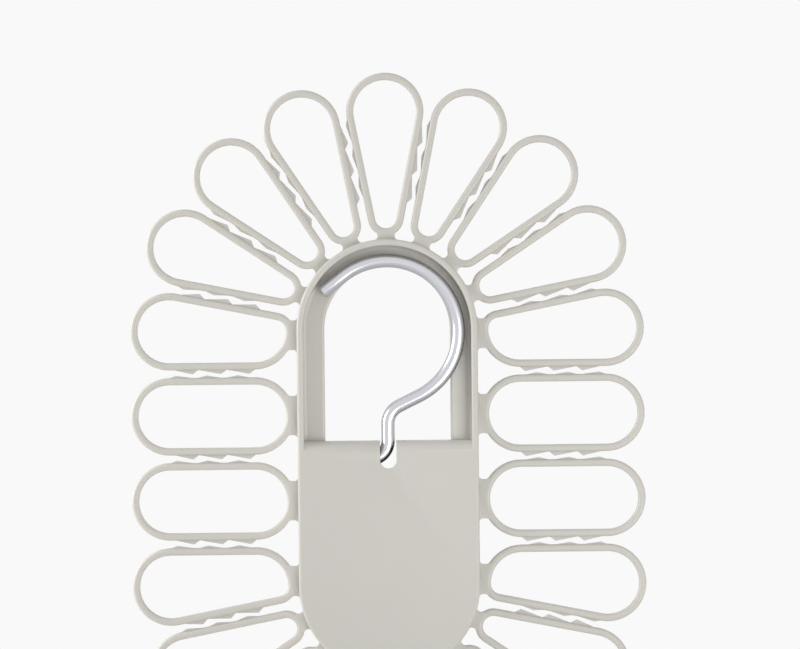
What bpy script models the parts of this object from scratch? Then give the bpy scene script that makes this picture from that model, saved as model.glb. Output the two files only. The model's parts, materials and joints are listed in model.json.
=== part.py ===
"""Accessory hanger: a flat moulded frame ringed by sprung loops, with a wire hook that folds into its arch.

The frame stands upright and faces -Y. Shapes are drawn about the middle of the frame and hang from one
empty, which puts the hook's rail seat at the world origin.
"""

import math

import bmesh
import bpy
from mathutils import Matrix, Vector

MM = 0.001
SEAT_GAP = 0.3 * MM

# Loop ring
LOOP_PITCH = 42.0 * MM
FAN_LOOPS = 7
FULL_SIDE_LOOPS = 2
LOOP_GAP = 3.8 * MM
BAR_WIDTH = 3.6 * MM
BAR_DEPTH = 6.0 * MM
BAR_EDGE = 1.1 * MM
NECK_LENGTH = 5.4 * MM
FAN_NECK_INSET = 1.03 * MM
TRANSITION_NECK_INSET = 0.3 * MM
SIDE_NECK_INSET = 5.85 * MM
NECK_DEPTH = 5.4 * MM
NECK_FLARE = 1.3 * MM
ROOT_FLARE = 1.2 * MM
ROOT_EDGE = 0.4 * MM

# Barbs on the facing bars of each gap, measured inwards from where a bar meets its end bend
BARB_COUNT = 3
BARB_DEPTH = 2.6 * MM
BARB_ROOT = 1.0 * MM
BARB_SINK = 0.12 * MM
TALL_BARB = 2.1 * MM
TALL_BARB_START = 2.3 * MM
TALL_BARB_LEAD = 2.55 * MM
TALL_BARB_BACK = 2.4 * MM
LOW_BARB = 1.15 * MM
LOW_BARB_START = -0.3 * MM
LOW_BARB_APART = 2.65 * MM
LOW_BARB_RISE = 2.5 * MM
LOW_BARB_RISE_STEP = 1.8 * MM

# Frame body
BODY_HALF = 44.6 * MM
BODY_DEPTH = 16.0 * MM
WALL = 3.2 * MM
WALL_OUTER_ROUND = 1.6 * MM
WALL_INNER_ROUND = 1.2 * MM
WALL_BACK_CHAMFER = 0.4 * MM
SKIN = 2.4 * MM
SKIN_SET_BACK = 0.15 * MM
PANEL_TOP = 8.2 * MM
BROW_RADIUS = 6.0 * MM
SLOT_SIDE_ROOM = 0.75 * MM
SLOT_FOOT_ROOM = 1.3 * MM
SLOT_FRONT_EDGE = 0.25 * MM

# Ledge inside the arch, which carries the folded hook
LEDGE_WIDTH = 10.4 * MM
LEDGE_FALL = 2.2 * MM
LEDGE_SKIN = 2.0 * MM
LEDGE_BITE = 0.8 * MM
LIP_WALL = 2.2 * MM
LIP_ROUND = 2.4 * MM
LIP_BACK = 2.0 * MM

# Hook
WIRE_RADIUS = 3.25 * MM
HOOK_SIDE_ROOM = 2.95 * MM
HOOK_DROP = 1.3 * MM
HOOK_TIP_ANGLE = math.radians(127.5)
HOOK_TIP_ROOM = 0.8 * MM
HOOK_LEAVE_ANGLE = math.radians(64.0)
NECK_BEND = 9.9 * MM
LEG_BEND = 9.0 * MM
LEG_LENGTH = 21.0 * MM
LEG_HEAD = 1.8 * MM
LEG_HEAD_RATIO = 1.25
TIP_ROUND = 0.8 * MM
HINGE_DROP = 0.9 * MM
RUNNING_GAP = 0.3 * MM

# Hinge bearing and its keeper
RIB_WIDTH = 3.0 * MM
KEEPER_PLATE = 2.2 * MM
KEEPER_EDGE = 1.3 * MM
KEEPER_SCREW_INSET = 4.1 * MM

# Back cover, bosses and screws
COVER_PLATE = 2.0 * MM
COVER_EDGE = 0.4 * MM
COVER_SCREW_INSET = 10.4 * MM
COVER_SCREW_DROP = 27.0 * MM
COVER_SCREW_LOW_ANGLE = math.radians(45)
BOSS_RADIUS = 3.4 * MM
SHANK_RADIUS = 1.25 * MM
HEAD_RADIUS = 2.6 * MM
PAN_HEAD = 1.6 * MM
FLAT_HEAD = 1.4 * MM
FLAT_HEAD_RIM = 0.3 * MM
KEEPER_SCREW_LENGTH = 5.2 * MM
COVER_SCREW_LENGTH = 9.0 * MM
RECESS_LENGTH = 3.2 * MM
RECESS_WIDTH = 0.7 * MM
RECESS_DEPTH = 0.6 * MM

# Faceting
ARC_STEPS = 24
LEDGE_STEPS = 26
COARSE_STEP = math.radians(22.6)
FINE_STEP = math.radians(12.0)
HOOK_STEP = math.radians(9.0)
BEND_STEP = math.radians(14.4)
BROW_STEP = math.radians(18.0)
ROUND_STEP = math.radians(30.0)
TURN_STEPS = 14
WELD = 1e-6

# Sizes that follow from those above
WEDGE = math.pi / (FAN_LOOPS + 1)
HALF_WEDGE = WEDGE / 2
ARC_CENTRE = (FULL_SIDE_LOOPS + 1) * LOOP_PITCH / 2
END_CENTRE = LOOP_PITCH / 2 / math.sin(HALF_WEDGE)
END_RADIUS = LOOP_PITCH / 2 - LOOP_GAP / 2
HOLE_START = BODY_HALF + NECK_LENGTH
SIDE_CORNER = LOOP_PITCH / 2 - LOOP_GAP / 2 - BAR_WIDTH
BARB_PITCH = (END_CENTRE - HOLE_START - SIDE_CORNER) / BARB_COUNT
INNER_HALF = BODY_HALF - WALL
WALL_MIDDLE = BODY_HALF - WALL / 2
OPENING_HALF = INNER_HALF - LEDGE_WIDTH
BORE_RADIUS = WIRE_RADIUS + RUNNING_GAP
HINGE_Z = -HINGE_DROP
AXIS_DEPTH = SKIN_SET_BACK + SKIN + BORE_RADIUS
SLOT_HALF = WIRE_RADIUS + SLOT_SIDE_ROOM
SLOT_BOTTOM = HINGE_Z - WIRE_RADIUS - SLOT_FOOT_ROOM
COVER_DEPTH = BODY_DEPTH - COVER_PLATE
LIP_DEPTH = AXIS_DEPTH + BORE_RADIUS
HOOK_RADIUS = INNER_HALF - WIRE_RADIUS - HOOK_SIDE_ROOM
HOOK_TIP_LENGTH = math.sqrt((INNER_HALF - HOOK_TIP_ROOM) ** 2 - (HOOK_RADIUS + WIRE_RADIUS) ** 2)
HOOK_CENTRE = Vector((0.0, ARC_CENTRE - HOOK_DROP))
RAIL_SEAT = HOOK_CENTRE.y + HOOK_RADIUS - WIRE_RADIUS
RIB_NEAR = LEG_BEND + RUNNING_GAP
LEG_END = LEG_BEND + LEG_LENGTH
RIB_END = LEG_END - LEG_HEAD - RUNNING_GAP
KEEPER_SCREW_OFFSET = BORE_RADIUS + KEEPER_PLATE + HEAD_RADIUS + SEAT_GAP
RIB_REACH = KEEPER_SCREW_OFFSET + BOSS_RADIUS
KEEPER_REACH = KEEPER_SCREW_OFFSET + HEAD_RADIUS + KEEPER_EDGE

# The kinds of side that a loop can have, and the two sizes of barb
TALL, LOW = "tall", "low"
FAN, TRANSITION, SIDE = "fan", "transition", "side"

FRONT_PLANE = Matrix.Rotation(math.radians(90), 4, "X")
SIDE_PLANE = Matrix(((0, 0, -1, 0), (0, 1, 0, 0), (1, 0, 0, 0), (0, 0, 0, 1)))


def at_depth(depth):
    """World Y of a point this far behind the front face, with the hook's axis at zero."""
    return depth - AXIS_DEPTH


def direction(angle):
    return Vector((math.cos(angle), math.sin(angle)))


def arc(centre, radius, start, end, step=COARSE_STEP):
    """Points round an arc, both ends included."""
    count = max(1, math.ceil(abs(end - start) / step - 1e-6))
    return [centre + radius * direction(start + (end - start) * i / count) for i in range(count + 1)]


def without_repeats(points):
    kept = []
    for point in points:
        if not kept or (point - kept[-1]).length > WELD:
            kept.append(point)
    if (kept[0] - kept[-1]).length <= WELD:
        kept.pop()
    return kept


def clear_scene():
    for old in list(bpy.data.objects):
        bpy.data.objects.remove(old)
    for old in list(bpy.data.collections):
        bpy.data.collections.remove(old)


def new_collection(name):
    collection = bpy.data.collections.new(name)
    bpy.context.scene.collection.children.link(collection)
    return collection


def moulded_or_metal(name, colour, roughness, metallic):
    material = bpy.data.materials.new(name)
    material.use_nodes = True
    shader = material.node_tree.nodes["Principled BSDF"]
    shader.inputs["Base Color"].default_value = (*colour, 1.0)
    shader.inputs["Roughness"].default_value = roughness
    shader.inputs["Metallic"].default_value = metallic
    return material


class Model:
    """The scene's collections, the empty that everything hangs from, and the materials."""

    def __init__(self):
        clear_scene()
        self.parts = new_collection("accessory_hanger")
        self.tools = new_collection("cutters_and_joined_shapes")
        self.origin = bpy.data.objects.new("frame_middle", None)
        self.origin.location = (0.0, 0.0, -RAIL_SEAT)
        self.parts.objects.link(self.origin)
        self.pivot = bpy.data.objects.new("hook_hinge_axis", None)
        self.pivot.location = (0.0, 0.0, HINGE_Z)
        self.pivot.parent = self.origin
        self.parts.objects.link(self.pivot)
        self.plastic = moulded_or_metal("warm_grey_moulded_plastic", (0.61, 0.60, 0.57), 0.45, 0.0)
        self.wire = moulded_or_metal("satin_aluminium_wire", (0.80, 0.80, 0.82), 0.28, 1.0)
        self.steel = moulded_or_metal("zinc_plated_steel", (0.62, 0.62, 0.64), 0.35, 1.0)

    def part(self, obj, material, parent=None):
        """Shows the object as a piece of the hanger."""
        obj.data.materials.clear()
        obj.data.materials.append(material)
        obj.parent = parent or self.origin
        self.parts.objects.link(obj)
        shade(obj.data)
        return obj

    def tool(self, obj):
        """Keeps the object as a shape that a Boolean takes away or joins on."""
        obj.parent = self.origin
        obj.hide_render = True
        obj.display_type = "WIRE"
        self.tools.objects.link(obj)
        return obj


def shade(mesh):
    mesh.shade_smooth()
    mesh.set_sharp_from_angle(angle=math.radians(35))


def poly_spline(curve, points, cyclic):
    spline = curve.splines.new("POLY")
    spline.points.add(len(points) - 1)
    for target, point in zip(spline.points, points):
        target.co = (*point, 1.0) if len(point) == 3 else (point[0], point[1], 0.0, 1.0)
    spline.use_cyclic_u = cyclic
    return spline


def mesh_from_curve(name, curve, matrix):
    """Turns a curve into a closed mesh object: its loose caps are welded to its sides."""
    source = bpy.data.objects.new(name + "_curve", curve)
    bpy.context.scene.collection.objects.link(source)
    graph = bpy.context.evaluated_depsgraph_get()
    mesh = bpy.data.meshes.new_from_object(source.evaluated_get(graph))
    bpy.data.objects.remove(source)
    work = bmesh.new()
    work.from_mesh(mesh)
    bmesh.ops.remove_doubles(work, verts=work.verts, dist=WELD)
    bmesh.ops.dissolve_degenerate(work, edges=work.edges, dist=WELD)
    bmesh.ops.recalc_face_normals(work, faces=work.faces)
    work.to_mesh(mesh)
    work.free()
    mesh.name = name
    obj = bpy.data.objects.new(name, mesh)
    obj.matrix_local = matrix
    return obj


def plate(name, outlines, thickness, matrix, edge=0.0):
    """A flat piece of this outline, with holes where outlines lie inside others, and its edges eased by edge."""
    curve = bpy.data.curves.new(name, "CURVE")
    curve.dimensions = "2D"
    curve.fill_mode = "BOTH"
    curve.extrude = thickness / 2 - edge
    curve.bevel_depth = edge
    curve.bevel_resolution = 0
    curve.offset = -edge
    for outline in outlines:
        poly_spline(curve, outline, cyclic=True)
    return mesh_from_curve(name, curve, matrix)


def swept(name, path, cyclic, section):
    """A section of (outward, forward) points carried along a clockwise path in the frame's plane."""
    outline = bpy.data.curves.new(name + "_section", "CURVE")
    outline.dimensions = "2D"
    outline.fill_mode = "NONE"
    poly_spline(outline, [Vector((-point.x, point.y)) for point in section], cyclic=True)
    guide = bpy.data.objects.new(name + "_section", outline)
    bpy.context.scene.collection.objects.link(guide)
    curve = bpy.data.curves.new(name, "CURVE")
    curve.dimensions = "2D"
    curve.fill_mode = "NONE"
    curve.bevel_mode = "OBJECT"
    curve.bevel_object = guide
    curve.use_fill_caps = not cyclic
    poly_spline(curve, path, cyclic)
    obj = mesh_from_curve(name, curve, FRONT_PLANE)
    bpy.data.objects.remove(guide)
    return obj


def turned(name, profile, matrix):
    """A round piece: (radius, height) points from the axis, round, and back to the axis."""
    mesh = bpy.data.meshes.new(name)
    points = [(radius, 0.0, height) for radius, height in profile]
    mesh.from_pydata(points, [(i, i + 1) for i in range(len(points) - 1)], [])
    obj = bpy.data.objects.new(name, mesh)
    screw = obj.modifiers.new("Turn", "SCREW")
    screw.axis = "Z"
    screw.steps = TURN_STEPS
    screw.render_steps = TURN_STEPS
    screw.use_merge_vertices = True
    screw.merge_threshold = WELD
    obj.matrix_local = matrix
    return obj


def box(name, low, high):
    """A box between two corners, from a cube."""
    mesh = bpy.data.meshes.new(name)
    work = bmesh.new()
    low, high = Vector(low), Vector(high)
    size = Matrix.Diagonal((*(high - low), 1.0))
    bmesh.ops.create_cube(work, size=1.0, matrix=Matrix.Translation((low + high) / 2) @ size)
    work.to_mesh(mesh)
    work.free()
    return bpy.data.objects.new(name, mesh)


def rods(name, places, radius, start, end):
    """Round rods along Y, one at each (x, z) place, between two depths."""
    mesh = bpy.data.meshes.new(name)
    work = bmesh.new()
    for x, z in places:
        middle = Vector((x, at_depth((start + end) / 2), z))
        bmesh.ops.create_cone(
            work,
            cap_ends=True,
            segments=TURN_STEPS,
            radius1=radius,
            radius2=radius,
            depth=end - start,
            matrix=Matrix.Translation(middle) @ FRONT_PLANE,
        )
    work.to_mesh(mesh)
    work.free()
    return bpy.data.objects.new(name, mesh)


def combine(target, tool, operation):
    modifier = target.modifiers.new(tool.name, "BOOLEAN")
    modifier.operation = operation
    modifier.object = tool
    return modifier


def applied(obj):
    """The object's mesh with its modifiers made real."""
    bpy.context.view_layer.update()
    graph = bpy.context.evaluated_depsgraph_get()
    mesh = bpy.data.meshes.new_from_object(obj.evaluated_get(graph))
    obj.modifiers.clear()
    return mesh


def top_arc(half, steps=ARC_STEPS):
    """The frame's top end at this half width, clockwise."""
    return arc(Vector((0.0, ARC_CENTRE)), half, math.pi, 0.0, math.pi / steps)


def low_arc(half):
    """The frame's bottom end at this half width, clockwise."""
    return arc(Vector((0.0, -ARC_CENTRE)), half, 0.0, -math.pi, math.pi / ARC_STEPS)


def stadium(half):
    """The frame's round-ended outline at this half width, clockwise from its top left."""
    return top_arc(half) + low_arc(half)


class Side:
    """One side of a loop, in the loop's own plane: u outwards along its middle, v to its side."""

    def __init__(self, kind, barbs):
        self.kind = kind
        self.barbs = barbs
        self.slope = 0.0 if kind == SIDE else HALF_WEDGE
        self.offset = LOOP_PITCH / 2 if kind == SIDE else 0.0
        rise = HOLE_START * math.sin(self.slope) + self.offset * math.cos(self.slope)
        self.corner = (rise - LOOP_GAP / 2 - BAR_WIDTH) / (1 - math.sin(self.slope))
        self.corner_centre = Vector((HOLE_START + self.corner, 0.0))
        inset = {FAN: FAN_NECK_INSET, TRANSITION: TRANSITION_NECK_INSET, SIDE: SIDE_NECK_INSET}[kind]
        self.neck = self.corner - inset

    def middle(self):
        """Half of the bar's middle line, from its inner end to its outer end."""
        tangent = math.pi / 2 + self.slope
        inner = arc(self.corner_centre, self.corner + BAR_WIDTH / 2, math.pi, tangent)
        outer = arc(Vector((END_CENTRE, 0.0)), END_RADIUS - BAR_WIDTH / 2, tangent, 0.0)
        return inner + outer

    def wall_at(self, v):
        """How far out the root's face lies at this distance from the loop's middle."""
        seat = BODY_HALF + SEAT_GAP
        return seat if self.kind == SIDE else math.sqrt(seat**2 - v**2)

    def bend_at(self, v, radius):
        """How far out a line of this radius round the inner bend lies at this distance from the middle."""
        return self.corner_centre.x - math.sqrt(radius**2 - v**2)

    def neck_outline(self):
        """Half of the neck, from the middle of its root to the middle of the bar."""
        foot, head = self.neck + ROOT_FLARE, self.neck + NECK_FLARE
        middle = self.corner + BAR_WIDTH / 2
        points = [Vector((self.wall_at(v), v)) for v in (0.0, foot / 2, foot)]
        points.append(Vector((self.wall_at(foot) + ROOT_EDGE, foot)))
        points.append(Vector((self.wall_at(self.neck) + ROOT_FLARE, self.neck)))
        points.append(Vector((self.bend_at(self.neck, self.corner + BAR_WIDTH) - NECK_FLARE / 2, self.neck)))
        turn = math.pi - math.asin(head / middle)
        return points + arc(self.corner_centre, middle, turn, math.pi)

    def barb_outline(self):
        """The row of barbs as one closed outline whose valleys and back lie inside the bar."""
        along = -direction(self.slope)
        out = direction(math.pi / 2 + self.slope)
        tangent = Vector((END_CENTRE, 0.0)) + END_RADIUS * out
        corners = []
        for i in range(BARB_COUNT):
            if self.barbs == TALL:
                peak = (i + 1) * BARB_PITCH - TALL_BARB_LEAD
                if i == 0:
                    corners.append((TALL_BARB_START, -BARB_SINK))
                corners += [(peak, TALL_BARB), (peak + TALL_BARB_BACK, -BARB_SINK)]
            else:
                start = LOW_BARB_START + i * BARB_PITCH
                peak = start + LOW_BARB_RISE + i * LOW_BARB_RISE_STEP
                end = start + BARB_PITCH - LOW_BARB_APART
                corners += [(start, -BARB_SINK), (peak, LOW_BARB), (end, -BARB_SINK)]
        corners += [(corners[-1][0], -BARB_ROOT), (corners[0][0], -BARB_ROOT)]
        return [tangent + along * distance + out * height for distance, height in corners]


def mirrored(points):
    return [Vector((point.x, -point.y)) for point in points]


def bar_section():
    """Across a loop's bar, its corners cut back so that its faces are crowned."""
    wide, deep = BAR_WIDTH / 2, BAR_DEPTH / 2
    corner = [(wide, deep - BAR_EDGE), (wide - BAR_EDGE, deep)]
    across = corner + [(-x, y) for x, y in corner[::-1]]
    return [Vector(point) for point in across] + [Vector((-x, -y)) for x, y in across]


def loop_mesh(name, model, left, right):
    """The mesh of one loop, its left side at +v: its bar, with its neck and the barbs of both sides joined on."""
    path = without_repeats(left.middle() + mirrored(right.middle())[::-1])
    obj = swept(name, path, True, bar_section())
    model.parts.objects.link(obj)
    neck = without_repeats(left.neck_outline()[::-1] + mirrored(right.neck_outline()))
    tools = [plate(name + "_neck", [neck], NECK_DEPTH, FRONT_PLANE)]
    barbs = [left.barb_outline(), mirrored(right.barb_outline())]
    tools.append(plate(name + "_barbs", barbs, BARB_DEPTH, FRONT_PLANE))
    for tool in tools:
        model.tools.objects.link(tool)
        combine(obj, tool, "UNION")
    mesh = applied(obj)
    for spent in [obj, *tools]:
        bpy.data.objects.remove(spent)
    return mesh


def loop_places():
    """Every loop clockwise from the top: its number, its end's height, its direction and its two sides."""
    quarter = math.pi / 2
    half_fan = (FAN_LOOPS - 1) // 2
    top, low = ARC_CENTRE, -ARC_CENTRE
    places = [(top, quarter - i * WEDGE, (FAN, LOW), (FAN, TALL)) for i in range(half_fan + 1)]
    places.append((top, 0.0, (TRANSITION, LOW), (SIDE, TALL)))
    for i in range(FULL_SIDE_LOOPS):
        places.append((top - (i + 1) * LOOP_PITCH, 0.0, (SIDE, LOW), (SIDE, TALL)))
    places.append((low, 0.0, (SIDE, LOW), (TRANSITION, LOW)))
    places += [(low, -quarter + i * WEDGE, (FAN, TALL), (FAN, LOW)) for i in range(half_fan, -half_fan - 1, -1)]
    places.append((low, math.pi, (TRANSITION, TALL), (SIDE, LOW)))
    for i in range(FULL_SIDE_LOOPS):
        places.append((low + (i + 1) * LOOP_PITCH, math.pi, (SIDE, TALL), (SIDE, LOW)))
    places.append((top, math.pi, (SIDE, TALL), (TRANSITION, TALL)))
    places += [(top, quarter + i * WEDGE, (FAN, LOW), (FAN, TALL)) for i in range(half_fan, 0, -1)]
    return places


def loop_name(number, count):
    """Loops are named from the top: down the right side, then down the left side."""
    half = count // 2
    if number == 0:
        return "loop_top"
    if number == half:
        return "loop_bottom"
    if number < half:
        return f"loop_right_{number:02d}"
    return f"loop_left_{count - number:02d}"


def build_loops(model):
    places = loop_places()
    meshes = {}
    for number, (height, angle, left, right) in enumerate(places):
        kind = (left, right)
        if kind not in meshes:
            shape = "_".join(word for side in kind for word in side)
            meshes[kind] = loop_mesh("loop_" + shape, model, Side(*left), Side(*right))
        obj = bpy.data.objects.new(loop_name(number, len(places)), meshes[kind])
        spin = Matrix.Rotation(-angle, 4, "Y")
        middle = at_depth(BODY_DEPTH / 2)
        obj.matrix_local = Matrix.Translation((0.0, middle, height)) @ spin @ FRONT_PLANE
        model.part(obj, model.plastic)


def wall_section():
    """Across the rim wall: a rounded crest at the front, lightly chamfered at the back."""
    outer, inner = WALL / 2, -WALL / 2
    front, back = at_depth(0.0), at_depth(BODY_DEPTH)
    round_out = Vector((outer - WALL_OUTER_ROUND, -front - WALL_OUTER_ROUND))
    round_in = Vector((inner + WALL_INNER_ROUND, -front - WALL_INNER_ROUND))
    section = arc(round_out, WALL_OUTER_ROUND, 0.0, math.pi / 2, ROUND_STEP)
    section += arc(round_in, WALL_INNER_ROUND, math.pi / 2, math.pi, ROUND_STEP)
    section.append(Vector((inner, -back + WALL_BACK_CHAMFER)))
    section.append(Vector((inner + WALL_BACK_CHAMFER, -back)))
    section.append(Vector((outer - WALL_BACK_CHAMFER, -back)))
    section.append(Vector((outer, -back + WALL_BACK_CHAMFER)))
    return without_repeats(section)


def ledge_section():
    """Across the ledge: a lip round the opening, then a skin that falls away to the rim wall."""
    hole = OPENING_HALF - WALL_MIDDLE
    foot = LEDGE_BITE - WALL / 2
    crest = -at_depth(LIP_DEPTH)
    fall = LEDGE_FALL / (INNER_HALF - OPENING_HALF - LIP_ROUND)
    centre = Vector((hole + LIP_ROUND, crest - LIP_ROUND))
    foot_depth = crest - fall * (foot - centre.x)
    back = -at_depth(BODY_DEPTH - LIP_BACK)
    lean = math.pi / 2 - math.atan(fall)
    section = [Vector((hole, back))]
    section += arc(centre, LIP_ROUND, math.pi, lean)
    section.append(Vector((foot, foot_depth)))
    section.append(Vector((foot, foot_depth - LEDGE_SKIN)))
    inner = hole + LIP_WALL
    section.append(Vector((inner, crest - LEDGE_SKIN - fall * (inner - centre.x))))
    section.append(Vector((inner, back)))
    return section


def brow_section():
    """The panel seen from its side, as (height, depth) points: the front skin rolls back over the top edge."""
    front = at_depth(SKIN_SET_BACK)
    back = at_depth(BODY_DEPTH - LIP_BACK)
    low = -ARC_CENTRE - BODY_HALF
    bend = Vector((PANEL_TOP - BROW_RADIUS, front + BROW_RADIUS))
    section = [Vector((low, front))]
    section += arc(bend, BROW_RADIUS, -math.pi / 2, 0.0, BROW_STEP)
    section.append(Vector((PANEL_TOP, back)))
    section.append(Vector((PANEL_TOP - SKIN, back)))
    section += arc(bend, BROW_RADIUS - SKIN, 0.0, -math.pi / 2, BROW_STEP)
    section.append(Vector((low, front + SKIN)))
    return section


def slot_outline():
    """The open-topped slot in which the hook's stem swings."""
    bottom = Vector((0.0, SLOT_BOTTOM + SLOT_HALF))
    sides = [Vector((x, PANEL_TOP + SKIN)) for x in (SLOT_HALF, -SLOT_HALF)]
    return arc(bottom, SLOT_HALF, math.pi, 2 * math.pi, FINE_STEP) + sides


def rib_outline():
    """A bearing rib seen from its side: half of the bore for the hook's leg is cut into its back edge."""
    front = at_depth(SKIN_SET_BACK + SKIN / 2)
    axis = Vector((HINGE_Z, 0.0))
    low, high = HINGE_Z - RIB_REACH, PANEL_TOP - SKIN / 2
    points = [Vector((low, front)), Vector((low, 0.0))]
    points += arc(axis, BORE_RADIUS, -math.pi, 0.0, FINE_STEP)
    return points + [Vector((high, 0.0)), Vector((high, front))]


def bell_mouth(model):
    """Room for the hook's bend to turn in: the bore flares into the slot, whose back edge is cut back with it."""
    flare = arc(Vector((0.0, LEG_BEND)), LEG_BEND - BORE_RADIUS, -math.pi / 2, -FINE_STEP, FINE_STEP)
    relief = AXIS_DEPTH - SKIN_SET_BACK - SLOT_FRONT_EDGE
    profile = [(0.0, LEG_BEND), (relief, LEG_BEND), (relief, flare[-1].x)]
    profile += [(point.y, point.x) for point in flare[::-1]] + [(0.0, flare[0].x)]
    turn = Matrix.Rotation(math.radians(90), 4, "Y")
    place = Matrix.Translation((-LEG_BEND, 0.0, HINGE_Z)) @ turn
    return model.tool(turned("hinge_bell_mouth", profile, place))


def head_pocket(model):
    """Room for the head of the hook's leg, which keeps the leg from sliding out of its bore."""
    radius = LEG_HEAD_RATIO * WIRE_RADIUS + RUNNING_GAP
    profile = [(0.0, LEG_HEAD + RUNNING_GAP), (radius, LEG_HEAD + RUNNING_GAP), (radius, -RUNNING_GAP)]
    turn = Matrix.Rotation(math.radians(90), 4, "Y")
    place = Matrix.Translation((-LEG_END, 0.0, HINGE_Z)) @ turn
    return model.tool(turned("leg_head_pocket", profile + [(0.0, -RUNNING_GAP)], place))


def keeper_screw_places():
    z = HINGE_Z - KEEPER_SCREW_OFFSET
    return [(-RIB_NEAR - KEEPER_SCREW_INSET, z), (-RIB_END + KEEPER_SCREW_INSET, z)]


def cover_screw_places():
    reach = INNER_HALF - COVER_SCREW_INSET
    low = reach * direction(-COVER_SCREW_LOW_ANGLE)
    upper = PANEL_TOP - COVER_SCREW_DROP
    return [(-reach, upper), (reach, upper), (-low.x, low.y - ARC_CENTRE), (low.x, low.y - ARC_CENTRE)]


def build_front_shell(model, slot):
    width = 2 * BODY_HALF
    shell = plate("front_shell", [brow_section()], width, SIDE_PLANE)
    clip = plate("panel_trim", [stadium(WALL_MIDDLE)], 2 * BODY_DEPTH, FRONT_PLANE)
    combine(shell, model.tool(clip), "INTERSECT")
    wall = swept("rim_wall", stadium(WALL_MIDDLE), True, wall_section())
    combine(shell, model.tool(wall), "UNION")
    foot = PANEL_TOP - SKIN / 2
    arch = [Vector((-WALL_MIDDLE, foot))] + top_arc(WALL_MIDDLE, LEDGE_STEPS) + [Vector((WALL_MIDDLE, foot))]
    ledge = swept("hook_ledge", arch, False, ledge_section())
    combine(shell, model.tool(ledge), "UNION")
    for name, start in (("near", RIB_NEAR), ("far", RIB_END - RIB_WIDTH)):
        place = Matrix.Translation((-start - RIB_WIDTH / 2, 0.0, 0.0)) @ SIDE_PLANE
        rib = plate("bearing_rib_" + name, [rib_outline()], RIB_WIDTH, place)
        combine(shell, model.tool(rib), "UNION")
    inside = SKIN_SET_BACK + SKIN / 2
    low_bosses = rods("keeper_bosses", keeper_screw_places(), BOSS_RADIUS, inside, AXIS_DEPTH - SEAT_GAP)
    combine(shell, model.tool(low_bosses), "UNION")
    tall_bosses = rods("cover_bosses", cover_screw_places(), BOSS_RADIUS, inside, COVER_DEPTH - SEAT_GAP)
    combine(shell, model.tool(tall_bosses), "UNION")
    pilot = SHANK_RADIUS + SEAT_GAP
    floor = SKIN_SET_BACK + SKIN + SEAT_GAP
    pilots = rods("keeper_pilot_holes", keeper_screw_places(), pilot, floor, AXIS_DEPTH + WALL)
    combine(shell, model.tool(pilots), "DIFFERENCE")
    pilots = rods("cover_pilot_holes", cover_screw_places(), pilot, floor, BODY_DEPTH)
    combine(shell, model.tool(pilots), "DIFFERENCE")
    combine(shell, slot, "DIFFERENCE")
    combine(shell, bell_mouth(model), "DIFFERENCE")
    combine(shell, head_pocket(model), "DIFFERENCE")
    return model.part(shell, model.plastic)


def head_seat(extra, bottom, top):
    """A countersunk head's shape, widened by extra all round, as (radius, height) points from bottom to top."""
    grown = SHANK_RADIUS + extra
    cone = FLAT_HEAD - FLAT_HEAD_RIM
    return [
        (0.0, bottom),
        (grown, bottom),
        (grown, -FLAT_HEAD - extra / 2),
        (HEAD_RADIUS + extra, -FLAT_HEAD + cone - extra / 2),
        (HEAD_RADIUS + extra, top),
        (0.0, top),
    ]


def screw_matrix(x, depth, z):
    """Stands a turned piece's height axis along +Y, out of the back."""
    return Matrix.Translation((x, at_depth(depth), z)) @ Matrix.Rotation(math.radians(-90), 4, "X")


def build_back_cover(model, slot):
    half = INNER_HALF - SEAT_GAP
    top = PANEL_TOP - SKIN - SEAT_GAP
    outline = [Vector((half, top))] + low_arc(half) + [Vector((-half, top))]
    place = Matrix.Translation((0.0, at_depth(BODY_DEPTH - COVER_PLATE / 2), 0.0)) @ FRONT_PLANE
    cover = plate("back_cover", [outline], COVER_PLATE, place, edge=COVER_EDGE)
    combine(cover, slot, "DIFFERENCE")
    for number, (x, z) in enumerate(cover_screw_places(), start=1):
        profile = head_seat(SEAT_GAP, -COVER_PLATE - WALL, SEAT_GAP * 2)
        hole = turned(f"cover_countersink_{number}", profile[::-1], screw_matrix(x, BODY_DEPTH, z))
        combine(cover, model.tool(hole), "DIFFERENCE")
    return model.part(cover, model.plastic)


def cut_drive(model, screw, name, place):
    """A cross recess in the top of a screw's head, whose top is at height zero."""
    half, width = RECESS_LENGTH / 2, RECESS_WIDTH / 2
    for tag, (x, y) in (("a", (half, width)), ("b", (width, half))):
        bar = box(f"{name}_recess_{tag}", (-x, -y, -RECESS_DEPTH), (x, y, RECESS_DEPTH))
        bar.matrix_local = place
        combine(screw, model.tool(bar), "DIFFERENCE")


def build_screws(model):
    for number, (x, z) in enumerate(cover_screw_places(), start=1):
        name = f"cover_screw_{number}"
        place = screw_matrix(x, BODY_DEPTH, z)
        profile = head_seat(0.0, -COVER_SCREW_LENGTH, 0.0)
        screw = turned(name, profile[::-1], place)
        cut_drive(model, screw, name, place)
        model.part(screw, model.steel)
    seat = AXIS_DEPTH + 2 * SEAT_GAP + KEEPER_PLATE
    for number, (x, z) in enumerate(keeper_screw_places(), start=1):
        name = f"keeper_screw_{number}"
        place = screw_matrix(x, seat + PAN_HEAD, z)
        crown = arc(Vector((HEAD_RADIUS - PAN_HEAD, -PAN_HEAD)), PAN_HEAD, 0.0, math.pi / 2, ROUND_STEP)
        profile = [
            (0.0, -PAN_HEAD - KEEPER_SCREW_LENGTH),
            (SHANK_RADIUS, -PAN_HEAD - KEEPER_SCREW_LENGTH),
            (SHANK_RADIUS, -PAN_HEAD),
        ]
        profile += [(point.x, point.y) for point in crown]
        profile.append((0.0, 0.0))
        screw = turned(name, profile[::-1], place)
        cut_drive(model, screw, name, place)
        model.part(screw, model.steel)


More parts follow.
